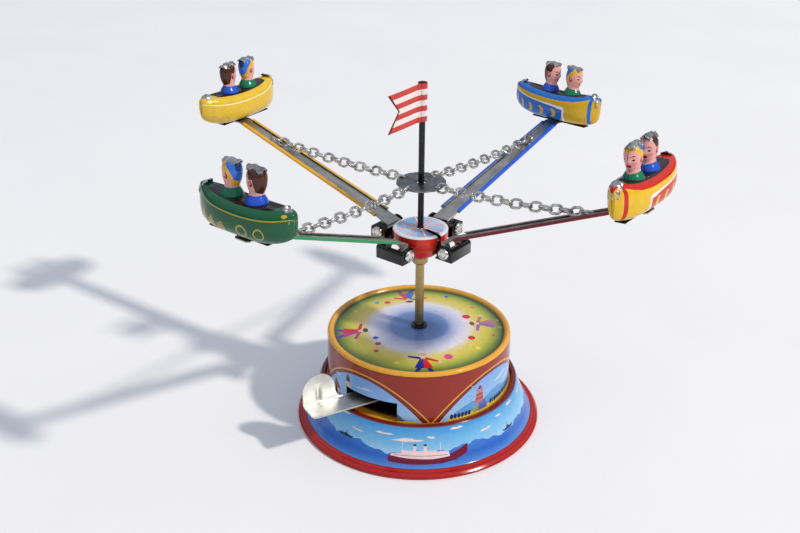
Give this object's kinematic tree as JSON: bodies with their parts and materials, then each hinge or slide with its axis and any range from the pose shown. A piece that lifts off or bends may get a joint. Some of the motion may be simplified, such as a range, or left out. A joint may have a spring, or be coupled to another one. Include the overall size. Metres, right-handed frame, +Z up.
{
  "type": "lever-driven tin carousel toy",
  "caption": "Push-lever tin carousel: a printed base turns a rotor whose sloping arms carry gondolas with riders and hang by chains from a disc on the flag pole.",
  "frame": {"origin": "on the spindle axis, in the plane of the base's rolled edge", "axes": "+Z up along the spindle; -Y towards the front of the base, with the push lever at the front left"},
  "size_m": [0.2158, 0.2201, 0.1745],
  "materials": {
    "printed_skirt": "gloss litho print",
    "printed_drum": "gloss litho print",
    "printed_top": "gloss litho print",
    "plain_tin": "bare tinplate",
    "black_lacquer": "gloss",
    "hub_lacquer": "gloss",
    "printed_cap": "gloss litho print",
    "printed_flag": "gloss litho print",
    "brass": "worn",
    "steel": "satin",
    "nickel": "bright",
    "dull_tin": "satin",
    "painted_arm_red": "gloss",
    "printed_hull_red": "gloss litho print",
    "painted_arm_blue": "gloss",
    "printed_hull_blue": "gloss litho print",
    "painted_arm_yellow": "gloss",
    "printed_hull_yellow": "gloss litho print",
    "painted_arm_green": "gloss",
    "printed_hull_green": "gloss litho print"
  },
  "bodies": {
    "base": {"base_skirt": "printed_skirt", "base_drum": "printed_drum", "top_plate": "printed_top", "base_cover": "plain_tin", "top_bush": "black_lacquer", "mechanism_plate": "steel", "lower_bearing": "brass", "lever_pivot": "steel", "return_spring": "nickel"},
    "lever": {"lever": "plain_tin", "sector_gear": "brass"},
    "pinion": {"pinion": "brass", "pawl": "steel"},
    "rotor": {"spindle": "brass", "ratchet_wheel": "steel", "spindle_collar": "brass", "arm_bracket": "black_lacquer", "hub_cup": "hub_lacquer", "hub_cap": "printed_cap", "flag_pole": "black_lacquer", "flag": "printed_flag", "chain_disc": "dull_tin", "hinge_pin_red": "nickel", "hinge_pin_blue": "nickel", "hinge_pin_yellow": "nickel", "hinge_pin_green": "nickel", "chain_red_inner": "nickel", "chain_blue_inner": "nickel", "chain_yellow_inner": "nickel", "chain_green_inner": "nickel"},
    "arm_red": {"arm_red": "painted_arm_red", "chain_red_outer": "nickel", "keel_plate_red": "black_lacquer", "gondola_red_outer": "printed_hull_red", "gondola_red_inner": "printed_hull_red"},
    "arm_blue": {"arm_blue": "painted_arm_blue", "chain_blue_outer": "nickel", "keel_plate_blue": "black_lacquer", "gondola_blue_outer": "printed_hull_blue", "gondola_blue_inner": "printed_hull_blue"},
    "arm_yellow": {"arm_yellow": "painted_arm_yellow", "chain_yellow_outer": "nickel", "keel_plate_yellow": "black_lacquer", "gondola_yellow_outer": "printed_hull_yellow", "gondola_yellow_inner": "printed_hull_yellow"},
    "arm_green": {"arm_green": "painted_arm_green", "chain_green_outer": "nickel", "keel_plate_green": "black_lacquer", "gondola_green_outer": "printed_hull_green", "gondola_green_inner": "printed_hull_green"}
  },
  "joints": [
    {"name": "lever_push", "type": "hinge", "parent": "base", "child": "lever", "pos_m": [0.02378, -0.00424, 0.0278], "axis": [0, 0, 1], "range_deg": [0, 13.5], "stiffness_Nm_per_rad": 0.02, "springref_deg": -22.92},
    {"name": "pinion_turn", "type": "hinge", "parent": "base", "child": "pinion", "pos_m": [0, 0, 0.0298], "axis": [0, 0, 1], "range_deg": [-80, 0]},
    {"name": "rotor_spin", "type": "hinge", "parent": "base", "child": "rotor", "pos_m": [0, 0, 0.0912], "axis": [0, 0, 1], "continuous": true},
    {"name": "arm_red_lift", "type": "hinge", "parent": "rotor", "child": "arm_red", "pos_m": [0.01545, -0.0119, 0.097], "axis": [-0.6101, -0.7923, 0], "range_deg": [0, 24.5]},
    {"name": "arm_blue_lift", "type": "hinge", "parent": "rotor", "child": "arm_blue", "pos_m": [0.0119, 0.01545, 0.097], "axis": [0.7923, -0.6101, 0], "range_deg": [0, 36.8]},
    {"name": "arm_yellow_lift", "type": "hinge", "parent": "rotor", "child": "arm_yellow", "pos_m": [-0.01545, 0.0119, 0.097], "axis": [0.6101, 0.7923, 0], "range_deg": [0, 32.2]},
    {"name": "arm_green_lift", "type": "hinge", "parent": "rotor", "child": "arm_green", "pos_m": [-0.0119, -0.01545, 0.097], "axis": [-0.7923, 0.6101, 0], "range_deg": [0, 26.6]}
  ],
  "couplings": [
    {"joint": "pinion_turn", "follows": "lever_push", "ratio": -5.9}
  ]
}
